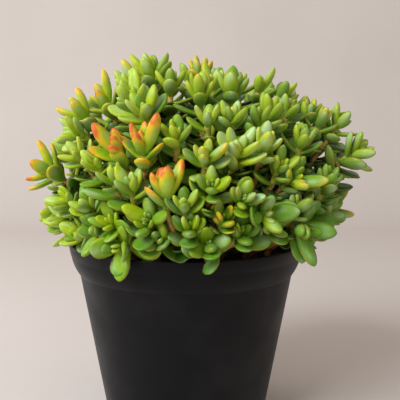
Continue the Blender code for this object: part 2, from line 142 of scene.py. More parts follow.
def new_finish(name, **constants):
    """A material and its shader, with constants set on the shader's sockets."""
    material = bpy.data.materials.new(name)
    material.use_nodes = True
    tree = material.node_tree
    shader = tree.nodes["Principled BSDF"]
    fill(tree, shader, {key.replace("_", " "): value for key, value in constants.items()})
    return material, tree, shader


def make_grain():
    """A group that makes one height of two sizes of grain."""
    group = bpy.data.node_groups.new("surface grain", "ShaderNodeTree")
    for name in ("Fine Scale", "Coarse Scale", "Coarse Share"):
        group.interface.new_socket(name, in_out="INPUT", socket_type="NodeSocketFloat")
    group.interface.new_socket("Height", in_out="OUTPUT", socket_type="NodeSocketFloat")
    given = place(group, "NodeGroupInput", {}).outputs
    fine = cloud(group, given["Fine Scale"], 2.0)
    coarse = cloud(group, given["Coarse Scale"], 4.0)
    height = place(group, "ShaderNodeMix", {0: given["Coarse Share"], 2: fine, 3: coarse}).outputs[0]
    place(group, "NodeGroupOutput", {"Height": height})
    return group


grain_group = make_grain()


def add_grain(tree, fine, coarse, share):
    """The grain group placed in a material, and its height."""
    sockets = {"Fine Scale": fine, "Coarse Scale": coarse, "Coarse Share": share}
    return place(tree, "ShaderNodeGroup", sockets, node_tree=grain_group).outputs["Height"]


def coat(tree, shader, colour, height, distance, strength, roughness):
    """Gives a finish its colour, its relief and its roughness."""
    bump = place(tree, "ShaderNodeBump", {"Height": height, "Distance": distance, "Strength": strength})
    fill(tree, shader, {"Base Color": colour, "Roughness": roughness, "Normal": bump.outputs[0]})


def bezier(points, share):
    """The point at a share of the way along a Bezier curve."""
    while len(points) > 1:
        points = [a.lerp(b, share) for a, b in zip(points, points[1:])]
    return points[0]


def rounded(corner, back, onward, steps=4):
    """A corner of a profile, rounded from a step back to a step onward."""
    corner = Vector(corner)
    ends = [corner + Vector(back), corner, corner + Vector(onward)]
    return [tuple(bezier(ends, step / steps)) for step in range(steps + 1)]


def tube_faces(rings, sides, openings=()):
    """The faces over rings of points, closed to one point at each end."""
    last = 1 + rings * sides
    faces = []
    for side in range(sides):
        after = (side + 1) % sides
        faces.append((0, 1 + after, 1 + side))
        for ring in range(rings - 1):
            low, high = 1 + ring * sides, 1 + (ring + 1) * sides
            if (ring, side) not in openings:
                faces.append((low + side, low + after, high + after, high + side))
        faces.append((last - sides + side, last - sides + after, last))
    return faces


def put(name, data):
    """Puts a mesh, lamp or camera into the scene."""
    made = bpy.data.objects.new(name, data)
    bpy.context.scene.collection.objects.link(made)
    return made


def closed_mesh(name, points, faces):
    """A mesh whose faces all look outward."""
    mesh = bpy.data.meshes.new(name)
    mesh.from_pydata(points, [], faces)
    work = bmesh.new()
    work.from_mesh(mesh)
    bmesh.ops.recalc_face_normals(work, faces=work.faces)
    work.to_mesh(mesh)
    work.free()
    return mesh


def around(radius, turn, height):
    """The point at a radius and a turn round the pot, from its front."""
    return Vector((radius * math.sin(turn), -radius * math.cos(turn), height))


def turned(name, profile, sides):
    """A solid of revolution whose profile starts and ends on the axis."""
    points = [(0.0, 0.0, profile[0][1])]
    for radius, height in profile[1:-1]:
        points.extend(around(radius, 2 * math.pi * side / sides, height) for side in range(sides))
    points.append((0.0, 0.0, profile[-1][1]))
    return put(name, closed_mesh(name, points, tube_faces(len(profile) - 2, sides)))


def apply_modifiers(made):
    """Replaces an object's mesh by what its modifiers make."""
    old = made.data
    evaluated = made.evaluated_get(bpy.context.evaluated_depsgraph_get())
    made.data = bpy.data.meshes.new_from_object(evaluated)
    made.modifiers.clear()
    bpy.data.meshes.remove(old)


def remove(made):
    """Takes a helper object and its mesh away."""
    mesh = made.data
    bpy.data.objects.remove(made)
    bpy.data.meshes.remove(mesh)


def band_flank():
    """The band's round flank from its foot up to the ledge, as a curve's control points."""
    band_foot = POT_HEIGHT - BAND_HEIGHT
    return [
        Vector((BAND_FOOT_RADIUS, band_foot)),
        Vector((BAND_BELLY_RADIUS, band_foot + BAND_BELLY_RISE)),
        Vector((LEDGE_RADIUS, POT_HEIGHT - LEDGE_DROP)),
    ]


def pot_lining():
    """The inside of the pot from its ledge to its floor, as (radius, height)."""
    middle = bezier(band_flank(), 0.5)
    return [
        (LEDGE_RADIUS - POT_WALL, POT_HEIGHT - LEDGE_DROP),
        (middle.x - POT_WALL, middle.y),
        (BODY_TOP_RADIUS - POT_WALL, POT_HEIGHT - BAND_HEIGHT + LINING_BEND_RISE),
        (BASE_RADIUS - POT_WALL, POT_FLOOR),
    ]


def pot_profile():
    """The pot's wall, up outside and down inside, as (radius, height)."""
    band_foot, ledge = POT_HEIGHT - BAND_HEIGHT, POT_HEIGHT - LEDGE_DROP
    return [
        (0.0, 0.0),
        *rounded((BASE_RADIUS, 0.0), (-FOOT_ROUNDING, 0.0), (0.0, FOOT_ROUNDING)),
        (BODY_TOP_RADIUS, band_foot - LEDGE_STEP),
        (BODY_TOP_RADIUS + LEDGE_STEP / 2, band_foot),
        *(tuple(bezier(band_flank(), step / BAND_STEPS)) for step in range(BAND_STEPS + 1)),
        (LEDGE_RADIUS + LEDGE_STEP, ledge + LEDGE_STEP),
        *rounded((RIM_RADIUS, POT_HEIGHT), (0.0, -LIP_ROUNDING), (-LIP_ROUNDING, 0.0)),
        *rounded((RIM_RADIUS - POT_WALL, POT_HEIGHT), (LIP_ROUNDING / 2, 0.0), (0.0, -LIP_ROUNDING), 2),
        *pot_lining(),
        (0.0, POT_FLOOR),
    ]


def drill_drains(pot):
    """Cuts the drain holes through the pot's floor."""
    edge = DRAIN_HOLE_RADIUS
    line = [(0, DRILL_FOOT), (edge, DRILL_FOOT), (edge, DRILL_TOP), (0, DRILL_TOP)]
    for index in range(DRAIN_HOLES):
        turn = 2 * math.pi * (index + 0.5) / DRAIN_HOLES
        drill = turned("drill", line, DRILL_SIDES)
        drill.data.transform(Matrix.Translation(around(DRAIN_RING_RADIUS, turn, 0)))
        hole = pot.modifiers.new("drain", "BOOLEAN")
        hole.operation = "DIFFERENCE"
        hole.solver = "EXACT"
        hole.object = drill
        apply_modifiers(pot)
        remove(drill)


def plastic_finish():
    """Black satin plastic, paler where its edges are rubbed, with faint mould rings."""
    material, tree, shader = new_finish(
        "moulded black plastic", Specular_IOR_Level=0.16, Sheen_Weight=0.05, Sheen_Roughness=0.4)
    sharpness = place(tree, "ShaderNodeNewGeometry", {}).outputs["Pointiness"]
    worn = reckon(tree, ease(tree, sharpness, 0.53, 0.60, 0.0, 0.7), patches(tree, 90.0, 3.0, 0.35, 0.65))
    worn = reckon(tree, worn, patches(tree, 22.0, 6.0, 0.50, 0.75, 0.0, 0.30), "ADD")
    sockets = {"Vector": object_place(tree), "Scale": 190.0, "Distortion": 0.4}
    rings = place(tree, "ShaderNodeTexWave", sockets, bands_direction="Z").outputs["Fac"]
    grain = add_grain(tree, 3200.0, 700.0, 0.35)
    height = place(tree, "ShaderNodeMix", {0: 0.12, 2: grain, 3: rings}).outputs[0]
    roughness = patches(tree, 35.0, 5.0, 0.3, 0.7, 0.42, 0.58)
    coat(tree, shader, blend(tree, worn, PLASTIC, PLASTIC_WORN), height, 0.00012, 0.6, roughness)
    return material


pot = turned("nursery_pot", pot_profile(), POT_SIDES)
drill_drains(pot)
pot.data.materials.append(plastic_finish())
pot.data.shade_smooth()
pot.data.set_sharp_from_angle(angle=SHARP_ANGLE)
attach(pot, "root")
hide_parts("pot")


# The soil: dark peat-based potting mix, pressed in to just under the rim in a low mound.
# Its top is crumbly, with loose crumbs of peat and bark lying on it.
SOIL_EDGE_GAP = 0.0007
SOIL_SIDE_GAP = 0.0004
CLEARANCE = 0.0003
SOIL_DROP = 0.0085
SOIL_MOUND = 0.004
SOIL_BUMP = 0.0007
SOIL_LEVEL_SHARE = 0.97
SOIL_SIDES = 96
SOIL_RINGS = 30
SOIL_SEED = 3
CRUMB_SEED = 11
CRUMB_LUMPS = (0.65, 1.1)
CRUMB_RADIUS = 0.0011
CRUMBS_PER_AREA = 150000.0
SCATTER_SEED = 5
LEVEL_FACING = 0.6
PEAT = (0.020, 0.013, 0.009)
DAMP_PEAT = (0.012, 0.0078, 0.0054)
BARK = (0.075, 0.040, 0.021)


def soil_height(radius):
    """The height of the soil's surface at a radius."""
    return POT_HEIGHT - SOIL_DROP + SOIL_MOUND * (1 - (radius / RIM_RADIUS) ** 2)


def make_soil():
    """The soil as one solid, roughened on top except along the wall."""
    lining = pot_lining()
    edge = lining[0][0] - SOIL_EDGE_GAP
    floor = POT_FLOOR + CLEARANCE
    wall = [(radius - SOIL_SIDE_GAP, height) for radius, height in lining[:0:-1]]
    wall[0] = (wall[0][0], floor)
    shares = [1 - ring / SOIL_RINGS for ring in range(SOIL_RINGS)]
    profile = [
        (0.0, floor),
        *wall,
        *((edge * share, soil_height(edge * share)) for share in shares),
        (0.0, soil_height(0.0)),
    ]
    soil = turned("potting_soil", profile, SOIL_SIDES)
    draw = random.Random(SOIL_SEED)
    for vertex in soil.data.vertices:
        across = math.hypot(vertex.co.x, vertex.co.y) / edge
        if vertex.co.z > POT_HEIGHT / 2 and across < SOIL_LEVEL_SHARE:
            vertex.co.z += draw.uniform(-SOIL_BUMP, SOIL_BUMP)
    return soil


def make_crumb():
    """One crumb, a lumpy stone shape of few faces."""
    mesh = bpy.data.meshes.new("crumb")
    work = bmesh.new()
    bmesh.ops.create_icosphere(work, subdivisions=1, radius=1.0)
    draw = random.Random(CRUMB_SEED)
    for vertex in work.verts:
        vertex.co *= draw.uniform(*CRUMB_LUMPS)
    work.to_mesh(mesh)
    work.free()
    return put("crumb", mesh)


def new_tree(name, values):
    """A geometry tree with a mesh in and out, and an input for each value."""
    tree = bpy.data.node_groups.new(name, "GeometryNodeTree")
    kinds = {bpy.types.Object: "Object", bpy.types.Material: "Material", int: "Int", float: "Float"}
    sockets = [("Geometry", "OUTPUT", "Geometry"), ("Geometry", "INPUT", "Geometry")]
    sockets += [(label, "INPUT", kinds[type(value)]) for label, value in values.items()]
    for label, way, kind in sockets:
        tree.interface.new_socket(label, in_out=way, socket_type="NodeSocket" + kind)
    return tree, place(tree, "NodeGroupInput", {}).outputs


def run_tree(made, tree, values):
    """Runs a tree on an object and keeps what grows as its mesh."""
    modifier = made.modifiers.new("growth", "NODES")
    modifier.node_group = tree
    for item in tree.interface.items_tree:
        if item.in_out == "INPUT" and item.name in values:
            modifier[item.identifier] = values[item.name]
    apply_modifiers(made)


def geo(tree, kind, inputs, **settings):
    """The first output of a geometry node that is added to a tree."""
    return place(tree, "GeometryNode" + kind, inputs, **settings).outputs[0]


def shape_of(tree, thing):
    """The shape of an object that a tree is given."""
    return place(tree, "GeometryNodeObjectInfo", {"Object": thing}).outputs["Geometry"]


def crumbs_tree(values):
    """Scatters crumbs over the faces that look up, turned and sized at random."""
    tree, given = new_tree("crumbs on soil", values)
    up = place(tree, "ShaderNodeSeparateXYZ", {0: geo(tree, "InputNormal", {})}).outputs["Z"]
    facing = {0: up, 1: LEVEL_FACING}
    level = place(tree, "FunctionNodeCompare", facing, operation="GREATER_THAN").outputs[0]
    points = geo(tree, "DistributePointsOnFaces", {
        "Mesh": given["Geometry"], "Selection": level, "Density": given["Crumbs per Area"],
        "Seed": given["Seed"],
    })
    turn, size = (
        place(tree, "FunctionNodeRandomValue", {0: low, 1: high}, data_type="FLOAT_VECTOR").outputs[0]
        for low, high in (((0, 0, 0), (6.28, 6.28, 6.28)), ((0.25, 0.25, 0.2), (1.1, 1.0, 0.7)))
    )
    sizing = {0: size, "Scale": given["Crumb Radius"]}
    scale = place(tree, "ShaderNodeVectorMath", sizing, operation="SCALE").outputs[0]
    laid = geo(tree, "InstanceOnPoints", {
        "Points": points, "Instance": shape_of(tree, given["Crumb"]), "Rotation": turn, "Scale": scale})
    joined = geo(tree, "JoinGeometry", {0: [given["Geometry"], geo(tree, "RealizeInstances", {0: laid})]})
    dressed = geo(tree, "SetMaterial", {"Geometry": joined, "Material": given["Earth"]})
    place(tree, "NodeGroupOutput", {0: dressed})
    return tree


def earth_finish():
    """Damp peat with browner bits of bark in it."""
    material, tree, shader = new_finish("potting mix", Specular_IOR_Level=0.25)
    damp = blend(tree, patches(tree, 60.0, 3.0, 0.35, 0.65), PEAT, DAMP_PEAT)
    earth = blend(tree, patches(tree, 420.0, 2.0, 0.52, 0.66, 0.0, 0.8), damp, BARK)
    roughness = patches(tree, 60.0, 3.0, 0.35, 0.65, 0.96, 0.74)
    coat(tree, shader, earth, add_grain(tree, 2600.0, 600.0, 0.5), 0.0006, 0.9, roughness)
    return material


soil = make_soil()
crumb = make_crumb()
crumb_values = {
    "Crumb": crumb, "Crumb Radius": CRUMB_RADIUS, "Crumbs per Area": CRUMBS_PER_AREA,
    "Seed": SCATTER_SEED, "Earth": earth_finish(),
}
run_tree(soil, crumbs_tree(crumb_values), crumb_values)
remove(crumb)
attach(soil, "root")
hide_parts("soil")


# The plants: cuttings of crassula that have grown into one dense mound. Each stem is rooted in the
# soil, forks into a few shoots, and each shoot ends in a crown of leaves. Their ways are worked out
# by the same rules as the solid stems, so that every piece lies where its solid does.
HOLE_DEPTH = 0.010
COLLAR_RISE = 0.002
MOUND_CENTRE = Vector((0.007, 0.0, POT_HEIGHT + 0.013))
MOUND_REACH = Vector((0.096, 0.090, 0.090))
LOWEST_RISE = -6
TUCK_RISE = 16
TUCK_PER_DEGREE = 0.0085
OUTWARD_LEAN = 0.72
HANGING_LEAN = 80
CROWNS_IN_ALL = 112
CROWN_SPACING = 0.0185
STEMS_IN_ALL = 50
ROOT_SPREAD = 0.057
FORK_SHARE = 0.42
FORK_CLEARANCE = 0.005
FORK_SINK = 0.002
FORK_EASE = 0.25
STEM_RADIUS = 0.0023
SHOOT_RADIUS = 0.0017
SHOOT_TAPER = (1.2, 1.2, 1.1, 0.9, 0.95, 1.1)
SHOOT_BENDS = (0.38, 0.7)
STRAIGHT_LENGTH = 0.009
STRAIGHT_SHARE = 0.42
NODE_DROPS = (0.0, 0.0030, 0.0060)
BUD_LENGTH = 0.0065
LEAF_LENGTH = 0.0162
LEAF_WIDTH_SHARE = 0.46
LEAF_THICKNESS_SHARE = 0.23
LEAF_TOP_SHARE = 0.3
LEAF_TIP_SHARE = 0.36
LEAF_CURL = 0.13
LEAF_SECTIONS = ((0.32, 0.8), (0.68, 1.0))
GOLDEN_ANGLE = math.pi * (3 - math.sqrt(5))
SEED = 7
FINER_SEED = 500
STEM_RIPE_LENGTH = 0.045
STEM_ROUND = 0.95

# The crowns seen from the front: bearing, rise, lean from upright, size, blush of red, and reach if not 1
FRONT_CROWNS = (
    (-77, 73, 10, 1.2, 0.1, 1.04), (15, 86, 10, 0.9, 0.6, 0.99), (1, 57, 15, 1, 0.25),
    (-41, 54, 20, 1.1, 0.05), (-83, 54, 30, 1, 0.6), (-82, 45, 38, 1, 0.45, 1.03), (-72, 37, 75, 1.05, 0),
    (-30, 30, 34, 1.05, 0.95), (-21, 31, 10, 1, 0.9), (-52, 28, 50, 0.85, 0.2),
    (-81, 20, 62, 1.05, 0.75, 1.02), (-42, 10, 45, 0.9, 0.1), (-30, 20, 20, 1, 0.15),
    (-23, 17, 25, 0.95, 0.1), (-11, 15, 12, 1.1, 1), (-17, 8, 60, 1, 0.05), (2, 28, 40, 0.95, 0.35),
    (14, 30, 36, 1.1, 0.15), (24, 31, 30, 1, 0.2), (45, 33, 20, 1, 0.15), (79, 25, 62, 1.05, 0.1, 1.12),
    (81, 45, 12, 1, 0.28, 1.01), (79, 36, 35, 0.95, 0.05, 1.12), (74, 40, 25, 0.9, 0.3, 1.04),
    (37, 46, 14, 1, 0.1), (81, 52, 10, 0.85, 0.3, 0.98), (78, 58, 20, 1, 0.1, 1.01),
    (77, 66, 10, 0.9, 0.1, 0.99), (74, 74, 10, 0.9, 0.1, 0.97), (23, 60, 18, 1.05, 0.05),
    (18, 72, 8, 0.85, 0.3, 0.96), (28, 43, 15, 1, 0.2), (15, 44, 15, 0.95, 0.1), (-9, 36, 20, 0.95, 0),
    (14, 14, 60, 1, 0.25), (8, 7, 48, 0.8, 0.5), (23, 9, 75, 1.2, 0), (36, 10, 35, 0.9, 0.2),
    (51, 17, 22, 0.95, 0.1), (34, 20, 65, 1.05, 0.32), (53, 6, 75, 1.05, 0), (15, 2, 55, 1.05, 0),
    (3, -2, 72, 1.15, 0.05), (-3, 4, 50, 1, 0.1), (-15, -1, 60, 1.05, 0.05), (-42, 1, 82, 0.95, 0.1),
    (-33, 5, 60, 0.9, 0.1), (-57, -3, 70, 1, 0.15), (-55, 11, 65, 0.9, 0), (4, 43, 22, 0.9, 0),
    (-5, 12, 35, 0.9, 0.05), (27, 4, 60, 0.9, 0), (38, 3, 95, 1.25, 0, 1.06),
    (-29, -3, 100, 1.2, 0, 1.08), (-18, 5, 60, 1.2, 0), (-39, 25, 40, 0.95, 0), (29, 24, 35, 0.9, 0.1),
    (4, 18, 45, 0.95, 0.1), (81, 6, 62, 1, 0.05, 0.92), (68, -4, 75, 0.95, 0.05, 0.92),
)

# The pairs of leaves on the solid shoots, the lower one first: the shoot's point above them, splay,
# size, age and share of the crown's blush. Then how far length, splay and roll are drawn at random.
GROWN_PAIRS = ((1, 60, 1.0, 0.55, 0.75), (0, 42, 0.92, 0.35, 1.0))
GROWN_LENGTHS = (0.92, 1.06)
GROWN_SWAY = (5, 6)

# What a leaf that would cross another tries in turn: more splay, more turn, size
LEAF_TRIES = (
    (0, 0, 1), (-8, 0, 1), (8, 0, 1), (0, 13, 1), (0, -13, 1), (-15, 0, 0.95), (-8, 16, 0.92),
    (-8, -16, 0.92), (12, 16, 0.9), (12, -16, 0.9), (-22, 0, 0.85), (-15, 24, 0.85), (-15, -24, 0.85),
    (-28, 0, 0.75), (-20, 30, 0.75), (-20, -30, 0.75),
)

# What a shoot that would cross another tries in turn: bow to its side, bow upwards
SHOOT_TRIES = (
    (0, 0), (0.004, 0), (-0.004, 0), (0, 0.004), (0.004, 0.004), (-0.004, 0.004), (0.008, 0), (-0.008, 0),
    (0, 0.008), (0.008, 0.008), (-0.008, 0.008), (0.012, 0), (-0.012, 0),
)


def towards(bearing, rise):
    """The unit vector at a bearing round the pot and a rise, in degrees."""
    up = math.radians(rise)
    return around(math.cos(up), math.radians(bearing), math.sin(up))


def on_mound(bearing, rise, reach=1.0):
    """The place on the mound at a bearing and a rise. Near the rim it tucks in."""
    tuck = 1 - TUCK_PER_DEGREE * max(0, TUCK_RISE - rise)
    return MOUND_CENTRE + reach * tuck * MOUND_REACH * towards(bearing, rise)


def lattice(count):
    """Bearings and rises spread evenly over the mound, by the golden angle."""
    lowest = math.sin(math.radians(LOWEST_RISE))
    for index in range(count):
        height = 1 - (1 - lowest) * (index + 0.5) / count
        yield math.degrees(index * GOLDEN_ANGLE) % 360, math.degrees(math.asin(height))


class Crown:
    """The leafy tip of one shoot."""

    def __init__(self, number, bearing, rise, lean, size, blush, reach=1.0):
        self.tip = on_mound(bearing, rise, reach)
        self.axis = towards(bearing, 90 - lean)
        self.size = size
        self.blush = blush
        self.draw = random.Random(SEED + number)
        hang = (self.axis.z * self.axis - Vector((0, 0, 1))).normalized()
        roll = self.draw.uniform(-0.5, 0.5) * (math.pi if lean < HANGING_LEAN else 0.4)
        self.across = Matrix.Rotation(roll, 3, self.axis) @ hang
        self.stem = None
        self.path = None
        self.leaves = []
        self.marks = []
        self.finer = random.Random(FINER_SEED + number)


def all_crowns():
    """The crowns seen from the front, then others wherever the mound is bare."""
    crowns = [Crown(number, *values) for number, values in enumerate(FRONT_CROWNS)]
    draw = random.Random(SEED)
    for bearing, rise in lattice(CROWNS_IN_ALL):
        bearing, rise = bearing + draw.uniform(-5, 5), rise + draw.uniform(-3, 3)
        lean = OUTWARD_LEAN * (90 - rise) + draw.uniform(-12, 12)
        reach, size = draw.uniform(0.96, 1.05), draw.uniform(0.9, 1.1)
        crown = Crown(len(crowns), bearing, rise, lean, size, max(0.0, draw.gauss(0.05, 0.25)), reach)
        if all((crown.tip - other.tip).length > CROWN_SPACING for other in crowns):
            crowns.append(crown)
    return crowns


class Stem:
    """One plant: a stem rooted in the soil that forks into a few shoots."""

    def __init__(self, bearing, rise):
        self.way = towards(bearing, rise)
        self.crowns = []
        spread = math.sqrt((1 - self.way.z) / (1 - math.sin(math.radians(LOWEST_RISE))))
        radius = ROOT_SPREAD * spread
        ground = around(radius, math.radians(bearing), soil_height(radius))
        self.root = ground - Vector((0, 0, HOLE_DEPTH))

    def lay_out(self):
        """Finds the fork, between root and crowns, and the path up to it."""
        middle = sum((crown.tip for crown in self.crowns), Vector()) / len(self.crowns)
        fork = self.root.lerp(middle, FORK_SHARE)
        fork.z = max(fork.z, POT_HEIGHT + FORK_CLEARANCE)
        collar = self.root + Vector((0, 0, HOLE_DEPTH + COLLAR_RISE))
        self.path = [self.root, collar, fork]
        self.heading = (fork - collar).normalized()


def all_stems(crowns):
    """The stems, each with the crowns nearest to it. One with no crown is left out."""
    stems = [Stem(bearing, rise) for bearing, rise in lattice(STEMS_IN_ALL)]
    for crown in crowns:
        way = (crown.tip - MOUND_CENTRE).normalized()
        crown.stem = max(stems, key=lambda stem: way.dot(stem.way))
        crown.stem.crowns.append(crown)
    stems = [stem for stem in stems if stem.crowns]
    for stem in stems:
        stem.lay_out()
    return stems


def tube_points(path, radii, sides, across, nose):
    """The points of a closed tube along a path. A nose draws out its first end."""
    along = (path[1] - path[0]).normalized()
    points = [path[0] - along * nose]
    for index, (middle, radius) in enumerate(zip(path, radii)):
        ahead = path[min(index + 1, len(path) - 1)] - path[max(index - 1, 0)]
        turn = along.rotation_difference(ahead.normalized())
        along, across = ahead.normalized(), turn @ across
        for side in range(sides):
            swing = Matrix.Rotation(2 * math.pi * (side - 0.5) / sides, 3, along)
            points.append(middle + swing @ across * radius)
    return points + [path[-1]]


class Thicket:
    """All that has grown so far, filed by place."""

    CELL = 0.02

    def __init__(self):
        self.cells = {}

    def cells_of(self, points):
        """The cells that a piece's box touches."""
        ends = ((int(min(values) // self.CELL), int(max(values) // self.CELL)) for values in zip(*points))
        across, back, up = (range(low, high + 1) for low, high in ends)
        return [(x, y, z) for x in across for y in back for z in up]

    def add(self, points, faces, *kin):
        """Files a piece with the stem and the crown it belongs to."""
        filed = (BVHTree.FromPolygons(points, faces), kin)
        for cell in self.cells_of(points):
            self.cells.setdefault(cell, []).append(filed)

    def is_clear(self, points, faces, own):
        """Whether a piece crosses nothing but its own stem or crown."""
        tree = BVHTree.FromPolygons(points, faces)
        near = {id(filed): filed for cell in self.cells_of(points) for filed in self.cells.get(cell, ())}
        return not any(own not in kin and tree.overlap(other) for other, kin in near.values())


def shoot_path(crown, bow, leads):
    """A shoot's bowed way down to the fork, or to the root if it leads."""
    fork = crown.stem.path[-1] - crown.stem.heading * FORK_SINK
    reach = (crown.tip - fork).length
    aside = crown.stem.heading.cross(crown.axis).normalized() * bow[0] + Vector((0, 0, bow[1]))
    nodes = [crown.tip - crown.axis * drop for drop in NODE_DROPS]
    control = [
        nodes[-1],
        crown.tip - crown.axis * max(STRAIGHT_LENGTH, reach * STRAIGHT_SHARE) + aside,
        fork + crown.stem.heading * reach * FORK_EASE + aside,
        fork,
    ]
    path = nodes + [bezier(control, share) for share in SHOOT_BENDS]
    if leads:
        return path + crown.stem.path[::-1]
    return path + [fork]


def leaf_seat(ring, side):
    """The numbers of a shoot's points round a leaf's root: left, right, keel, spare."""
    upper, lower = 1 + 4 * ring, 5 + 4 * ring
    left, right = (side + 1) % 4, side
    return upper + left, upper + right, lower + left, lower + right


def shoot_radii(crown):
    """How thick a shoot is at each point of its path."""
    radii = [SHOOT_RADIUS * share for share in SHOOT_TAPER]
    if len(crown.path) > len(radii):
        radii[-1:] = [STEM_RADIUS] * len(crown.stem.path)
    return radii


def shoot_mesh(crown, leaves=(), grow=0.0):
    """A four-sided shoot that ends in a bud, with leaves on its sides."""
    radii = [radius + grow for radius in shoot_radii(crown)]
    points = tube_points(crown.path, radii, 4, crown.across, BUD_LENGTH * crown.size)
    faces = tube_faces(len(crown.path), 4, [(ring, side) for ring, side, _ in leaves])
    for ring, side, leaf in leaves:
        left, right, keel, spare = leaf_seat(ring, side)
        faces.append((keel, spare, right))
        faces.extend(leaf_faces((left, right, keel), len(points)))
        points.extend(leaf)
    return points, faces


def leaf_seat_points(crown, ring, side, grow):
    """The left, right and keel points of a leaf's root on its shoot."""
    shoot, _ = shoot_mesh(crown, grow=grow)
    return [shoot[corner] for corner in leaf_seat(ring, side)[:3]]


def leaf_half_width(share):
    """Half a solid leaf's width as a share of its greatest."""
    widest = 0.66
    if share < widest:
        part = share / widest
        return 0.34 + 0.66 * part * part * (3 - 2 * part)
    return math.sqrt(max(0.0, 1 - ((share - widest) / (1 - widest)) ** 2.2))


def leaf_ways(axis, side_way, splay, roll):
    """The way a leaf grows and the way its upper face looks."""
    side = Matrix.Rotation(math.radians(roll), 3, axis) @ side_way
    cos, sin = math.cos(math.radians(splay)), math.sin(math.radians(splay))
    return cos * axis + sin * side, sin * axis - cos * side


def leaf_points(root, axis, side_way, splay, roll, length, grow=0.0):
    """The points of a thick leaf past its root, flat above and keeled below."""
    along, up = leaf_ways(axis, side_way, splay, roll)
    across = along.cross(up)
    half_width = length * LEAF_WIDTH_SHARE / 2
    thickness = length * LEAF_THICKNESS_SHARE
    points = []
    for share, depth in LEAF_SECTIONS:
        middle = root + along * length * share + up * length * LEAF_CURL * share * share
        wide = half_width * leaf_half_width(share) + grow
        top = up * (LEAF_TOP_SHARE * thickness * depth + grow)
        points.append(middle + across * wide + top)
        points.append(middle - across * wide + top)
        points.append(middle - up * ((1 - LEAF_TOP_SHARE) * thickness * depth + grow))
    tip = root + along * (length + grow) + up * length * LEAF_CURL
    blunt = half_width * LEAF_TIP_SHARE + grow
    return points + [tip + across * blunt, tip - across * blunt]


def leaf_faces(root, first):
    """A leaf's faces from the points of its root, its own numbered from the first."""
    left, right, keel = root
    a, b, c, d, e, f, g, h = range(first, first + 8)
    base = [(left, a, b, right), (right, b, c, keel), (keel, c, a, left)]
    blade = [(a, d, e, b), (b, e, f, c), (c, f, d, a)]
    return base + blade + [(d, g, h, e), (e, h, f), (f, g, d), (f, h, g)]


def crosses_itself(points, faces):
    """Whether two faces of a mesh cross that share no corner."""
    tree = BVHTree.FromPolygons(points, faces)
    return any(not set(faces[one]) & set(faces[other]) for one, other in tree.overlap(tree))


def grow_shoot(crown, leads, thicket):
    """Grows a shoot, bowed where it has to be. Says whether it found a way."""
    for bow in SHOOT_TRIES:
        crown.path = shoot_path(crown, bow, leads)
        clear = thicket.is_clear(*shoot_mesh(crown, grow=CLEARANCE), crown.stem)
        if clear and not crosses_itself(*shoot_mesh(crown)):
            thicket.add(*shoot_mesh(crown), crown.stem, crown)
            return True
    return False


def grow_shoots(stems, thicket):
    """Grows each stem's straightest shoot, then the others. Gives the stems that grew."""
    for stem in stems:
        stem.crowns.sort(key=lambda crown: -stem.way.dot((crown.tip - MOUND_CENTRE).normalized()))
        while stem.crowns and not grow_shoot(stem.crowns[0], True, thicket):
            stem.crowns.pop(0)
    grown = [stem for stem in stems if stem.crowns]
    for stem in grown:
        leader, *others = stem.crowns
        stem.crowns = [leader] + [crown for crown in others if grow_shoot(crown, False, thicket)]
    return grown


def is_above_soil(points):
    """Whether the points inside the rim keep clear of the soil."""
    margin = SOIL_BUMP + CLEARANCE
    inside = [point for point in points if math.hypot(point.x, point.y) < RIM_RADIUS]
    return all(point.z > soil_height(math.hypot(point.x, point.y)) + margin for point in inside)


def leaf_tries(draw, side, splay, sway):
    """The splays, rolls and sizes that a leaf tries in turn, round those drawn for it."""
    splay += draw.uniform(-sway[0], sway[0])
    roll = -90 * side + draw.uniform(-sway[1], sway[1])
    for more_splay, more_turn, scale in LEAF_TRIES:
        yield splay + more_splay, roll + more_turn, scale


def grow_pair(crown, pair, turn, thicket):
    """Grows two opposite leaves, each turned or shrunk until it crosses nothing."""
    ring, splay, size, age, share = pair
    for side in (turn, turn + 2):
        length = LEAF_LENGTH * crown.size * size * crown.draw.uniform(*GROWN_LENGTHS)
        root = crown.path[ring].lerp(crown.path[ring + 1], 0.5)
        seat, wide_seat = (leaf_seat_points(crown, ring, side, grow) for grow in (0.0, CLEARANCE))
        blade = leaf_faces((0, 1, 2), 3)
        for tilt, roll, scale in leaf_tries(crown.draw, side, splay, GROWN_SWAY):
            leaf = (root, crown.axis, crown.across, tilt, roll, length * scale)
            leaves = [*crown.leaves, (ring, side, leaf_points(*leaf))]
            space = leaf_points(*leaf, CLEARANCE)
            clear = is_above_soil(space) and thicket.is_clear(wide_seat + space, blade, crown)
            if clear and not crosses_itself(*shoot_mesh(crown, leaves)):
                thicket.add(seat + leaf_points(*leaf), blade, crown.stem, crown)
                crown.leaves = leaves
                crown.marks.append(leaf_marks(crown, *leaf, age, crown.blush * share))
                break


# The leaves: thick and waxy, in crossed pairs that stand wide on the outside of a crown and close round
# its bud. Young ones are oblong and old ones spoon-shaped. A geometry tree sets them on the shoots and
# gives the shoots their skin of green, orange and brown, so that each stem is one piece with its leaves.
LEAF_RINGS = (0.0, 0.17, 0.38, 0.59, 0.77, 0.90, 0.97)
LEAF_POINT = 1.012

